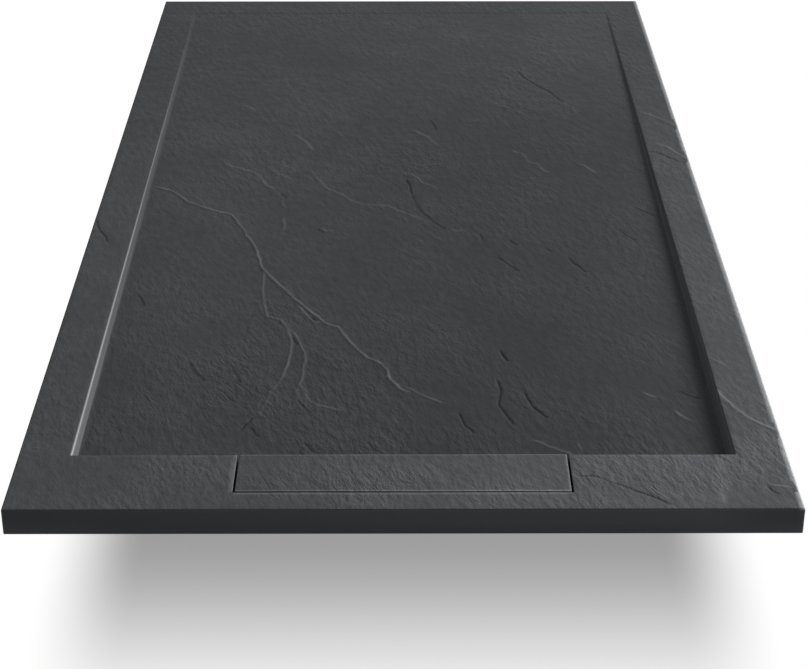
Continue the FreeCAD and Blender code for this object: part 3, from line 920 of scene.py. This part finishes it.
def handled(tree, cloud_scale, grain_scale):
    """Places the handled surface in a material. Returns the material's coordinates and the group's outputs."""
    place = tree.nodes.new("ShaderNodeTexCoord").outputs["Object"]
    node = tree.nodes.new("ShaderNodeGroup")
    node.node_tree = handled_surface
    for name, value in (("Vector", place), ("Cloud Scale", cloud_scale), ("Grain Scale", grain_scale)):
        feed(tree, node.inputs[name], value)
    return place, node.outputs


def dress(names, finish):
    """Gives CAD pieces their finish."""
    for name in names:
        for material_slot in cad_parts[name].material_slots:
            material_slot.material = finish


sheet_dark, sheet_light = (0.46, 0.455, 0.44, 1.0), (0.62, 0.615, 0.60, 1.0)
sheet_dull = (0.40, 0.39, 0.37, 1.0)
backing_finish, tree, shader = new_finish("brushed stainless sheet")
place, surface = handled(tree, 18.0, 700.0)
brushed = grain_noise(tree, place, 0, (0.060, 0.0004, 0.0004), 3.0, 0.6)
sheet_colour = mixed(tree, brushed, sheet_dark, sheet_light)
sheet_colour = mixed(tree, weighted(tree, surface["Cloud"], 0.5, -0.10), sheet_colour, sheet_dull)
sheet_rough = plus(tree, weighted(tree, surface["Cloud"], 0.20, 0.24), times(tree, brushed, 0.12))
coat(tree, shader, sheet_colour, sheet_rough, brushed, 0.00006)
shader.inputs["Metallic"].default_value = 1.0
dress(["cover_backing_plate"], backing_finish)

rubber_dark, rubber_light = (0.012, 0.012, 0.013, 1.0), (0.034, 0.034, 0.035, 1.0)
rubber_dust = (0.16, 0.155, 0.15, 1.0)
rubber_finish, tree, shader = new_finish("black rubber")
place, surface = handled(tree, 60.0, 1400.0)
rubber_colour = mixed(tree, surface["Cloud"], rubber_dark, rubber_light)
rubber_colour = mixed(tree, times(tree, surface["Grain"], 0.12), rubber_colour, rubber_dust)
coat(tree, shader, rubber_colour, weighted(tree, surface["Grain"], 0.25, 0.55), surface["Grain"], 0.00012)
shader.inputs["Specular IOR Level"].default_value = 0.35
dress(["cover_edge_pads", "cover_post_pads"], rubber_finish)
dress(["flange_seal", "underside_seal", "outlet_seal", "dip_tube_o_ring"], rubber_finish)


# ---- the waste: its flange, the hair strainer and the knob
# The stainless flange is screwed down through the tray's hole and clamps the trap up against it. A pressed
# strainer with a turned knob lifts out for cleaning. The rings left by turning and spinning stay visible.
def ring_height(tree, place, pitch):
    """Fine rings round the waste's own axis, as a turning tool leaves them."""
    moved = tree.nodes.new("ShaderNodeVectorMath")
    moved.operation = "SUBTRACT"
    feed(tree, moved.inputs[0], place)
    moved.inputs[1].default_value = (0.0, waste_y, 0.0)
    axes = tree.nodes.new("ShaderNodeSeparateXYZ")
    feed(tree, axes.inputs[0], moved.outputs[0])
    square_x = math_node(tree, "POWER", axes.outputs["X"], 2.0)
    square_y = math_node(tree, "POWER", axes.outputs["Y"], 2.0)
    radius = math_node(tree, "SQRT", plus(tree, square_x, square_y))
    step = tree.nodes.new("ShaderNodeCombineXYZ")
    feed(tree, step.inputs["X"], times(tree, radius, 1.0 / pitch))
    feed(tree, step.inputs["Y"], times(tree, axes.outputs["Z"], 1.0 / pitch))
    return noise_node(tree, step.outputs[0], 1.0, 2.0, 0.6)


water_mark = (0.50, 0.49, 0.46, 1.0)


def turned_steel(name, dark, light, rough, pitch, depth):
    finish, tree, shader = new_finish(name)
    place, surface = handled(tree, 45.0, 1100.0)
    rings = ring_height(tree, place, pitch)
    water_marks = weighted(tree, surface["Cloud"], 2.5, -1.25, clamp=True)
    colour = mixed(tree, weighted(tree, rings, 0.6, 0.2), dark, light)
    colour = mixed(tree, times(tree, water_marks, 0.45), colour, water_mark)
    dull = plus(tree, weighted(tree, rings, 0.10, rough), times(tree, water_marks, 0.22))
    coat(tree, shader, colour, plus(tree, dull, times(tree, surface["Scratch"], 0.15)), rings, depth)
    shader.inputs["Metallic"].default_value = 1.0
    return finish


waste_finish = turned_steel("turned stainless steel", (0.52, 0.52, 0.51, 1.0), (0.70, 0.70, 0.69, 1.0),
                            0.16, 0.00045, 0.00004)
strainer_finish = turned_steel("pressed stainless steel", (0.46, 0.46, 0.45, 1.0), (0.64, 0.64, 0.63, 1.0),
                               0.26, 0.0009, 0.00005)
dress(["waste_flange", "strainer_knob"], waste_finish)
dress(["hair_strainer"], strainer_finish)

# ---- the trap and its outlet: the moulded pieces
# The bottle trap, its outlet pipe, the lift-out dip tube and the outlet nut are moulded polypropylene. The
# moulds leave a fine spark-eroded grain, and faint flow clouds run through the colour.
pale_dust = (0.42, 0.41, 0.39, 1.0)


def moulded(name, deep, pale, rough, grain):
    finish, tree, shader = new_finish(name)
    _, surface = handled(tree, 22.0, 1500.0)
    dust = weighted(tree, surface["Grain"], 1.6, -0.75, clamp=True)
    colour = mixed(tree, times(tree, dust, 0.30), mixed(tree, surface["Cloud"], deep, pale), pale_dust)
    dull = plus(tree, weighted(tree, surface["Cloud"], 0.18, rough), times(tree, surface["Scratch"], 0.20))
    coat(tree, shader, colour, dull, surface["Grain"], grain)
    shader.inputs["Specular IOR Level"].default_value = 0.45
    return finish


white_finish = moulded("white polypropylene", (0.66, 0.66, 0.64, 1.0), (0.76, 0.76, 0.74, 1.0), 0.30, 0.00008)
grey_finish = moulded("grey polypropylene", (0.17, 0.175, 0.18, 1.0), (0.23, 0.235, 0.24, 1.0), 0.36, 0.00010)
dress(["trap_body", "outlet_pipe"], white_finish)
dress(["dip_tube", "outlet_nut"], grey_finish)

# ---- the floor, the lamps and the camera
# A plain white floor with the soft pool of shadow in front of the tray, open under the tray, where the trap
# hangs through it. A low wide lamp stands on the right, and the camera looks down the tray from its drain end.
floor_size = 12.0
floor_level = -0.0005
opening_margin = 0.015
pool_length, pool_depth = 0.36, 0.672
pool_full_half, pool_half = 0.255, 0.36
pool_lead = 0.03
floor_white = (0.80, 0.80, 0.80, 1.0)
floor_glow, glow_share = 1.07, 0.93

open_half, open_front, open_back = half_width - opening_margin, front + opening_margin, back - opening_margin
around = box_outline(-floor_size, floor_size, -floor_size, floor_size)
around += box_outline(-open_half, open_half, open_front, open_back)
floor = new_piece("floor", [(x, y, floor_level) for x, y in around],
                  [[n, (n + 1) % 4, 4 + (n + 1) % 4, 4 + n] for n in range(4)])
floor_finish, tree, shader = new_finish("white floor")
tree.nodes.remove(shader)


def eased_range(tree, value, start, end, low, high):
    """Goes smoothly from low to high as the value goes from start to end."""
    node = tree.nodes.new("ShaderNodeMapRange")
    node.interpolation_type = "SMOOTHSTEP"
    for name, number in (("From Min", start), ("From Max", end), ("To Min", low), ("To Max", high)):
        node.inputs[name].default_value = number
    feed(tree, node.inputs["Value"], value)
    return node.outputs["Result"]


def shows_backdrop(tree):
    """1 for the rays that show the plain background: the camera's, and those that metal and glass send on."""
    ray = tree.nodes.new("ShaderNodeLightPath")
    shown = math_node(tree, "MAXIMUM", ray.outputs["Is Camera Ray"], ray.outputs["Is Glossy Ray"])
    return math_node(tree, "MAXIMUM", shown, ray.outputs["Is Transmission Ray"])


def mixed_shader(tree, share, first, second):
    node = tree.nodes.new("ShaderNodeMixShader")
    for socket, value in zip(node.inputs, (share, first, second)):
        feed(tree, socket, value)
    return node.outputs[0]


axes = tree.nodes.new("ShaderNodeSeparateXYZ")
feed(tree, axes.inputs[0], tree.nodes.new("ShaderNodeTexCoord").outputs["Object"])
ahead = math_node(tree, "SUBTRACT", front, axes.outputs["Y"])
off_middle = math_node(tree, "ABSOLUTE", axes.outputs["X"])
pool = eased_range(tree, ahead, 0.0, pool_length, pool_depth, 0.0)
pool = times(tree, pool, eased_range(tree, off_middle, pool_full_half, pool_half, 1.0, 0.0))
pool = times(tree, pool, eased_range(tree, ahead, -pool_lead, 0.0, 0.0, 1.0))
lit = math_node(tree, "SUBTRACT", 1.0, pool)
tone = tree.nodes.new("ShaderNodeCombineColor")
for channel in tone.inputs:
    feed(tree, channel, lit)
matt = tree.nodes.new("ShaderNodeBsdfDiffuse")
matt.inputs["Color"].default_value = floor_white
glow = tree.nodes.new("ShaderNodeEmission")
feed(tree, glow.inputs["Color"], tone.outputs[0])
glow.inputs["Strength"].default_value = floor_glow
from_above = mixed_shader(tree, times(tree, shows_backdrop(tree), glow_share), matt.outputs[0], glow.outputs[0])
is_below = tree.nodes.new("ShaderNodeNewGeometry").outputs["Backfacing"]
clear = tree.nodes.new("ShaderNodeBsdfTransparent").outputs[0]
feed(tree, tree.nodes["Material Output"].inputs["Surface"], mixed_shader(tree, is_below, from_above, clear))
floor.data.materials.append(floor_finish)

room_light = 0.38
world = bpy.data.worlds.new("white room")
world.use_nodes = True
tree = world.node_tree
level = tree.nodes.new("ShaderNodeMix")
level.data_type = "FLOAT"
feed(tree, level.inputs["Factor"], shows_backdrop(tree))
level.inputs[2].default_value, level.inputs[3].default_value = room_light, 1.0
tree.nodes["Background"].inputs["Color"].default_value = (1.0, 1.0, 1.0, 1.0)
feed(tree, tree.nodes["Background"].inputs["Strength"], level.outputs[0])
bpy.context.scene.world = world


def lamp(name, place, aim, power, size):
    """A rectangular lamp that points at a place. The camera doesn't see it."""
    data = bpy.data.lights.new(name, "AREA")
    data.energy = power
    data.shape = "RECTANGLE"
    data.size, data.size_y = size
    made = bpy.data.objects.new(name, data)
    made.location = place
    made.visible_camera = False
    to_x, to_y, to_z = [a - p for a, p in zip(aim, place)]
    tilt = math.atan2(math.hypot(to_x, to_y), -to_z)
    made.rotation_euler = (tilt, 0.0, math.atan2(to_y, to_x) - math.pi / 2)
    bpy.context.scene.collection.objects.link(made)
    return made


window = lamp("window light", (3.5, 1.9, 1.60), (0.0, 0.0, 0.0), 272.0, (2.2, 1.9))
skim = lamp("side strip light", (0.82, -0.50, 0.24), (0.35, -0.50, 0.03), 3.2, (1.1, 0.16))
unlit = bpy.data.collections.new("not lit by the lamps")
unlit.objects.link(floor)
for bulb in (window, skim):
    bulb.light_linking.receiver_collection = unlit
unlit.collection_objects[0].light_linking.link_state = "EXCLUDE"

camera_pitch, camera_yaw = 27.57, 0.15
camera_side, camera_back, camera_up = -0.0037, 1.6854, 1.0749
camera_data = bpy.data.cameras.new("camera")
camera_data.sensor_width = 36.0
camera_data.lens = 89.4
camera_data.clip_end = 50.0
camera = bpy.data.objects.new("camera", camera_data)
camera.location = (camera_side, front - camera_back, top + camera_up)
camera.rotation_euler = (math.radians(90.0 - camera_pitch), 0.0, math.radians(-camera_yaw))
bpy.context.scene.collection.objects.link(camera)
bpy.context.scene.camera = camera
bpy.context.scene.view_settings.view_transform = "Standard"
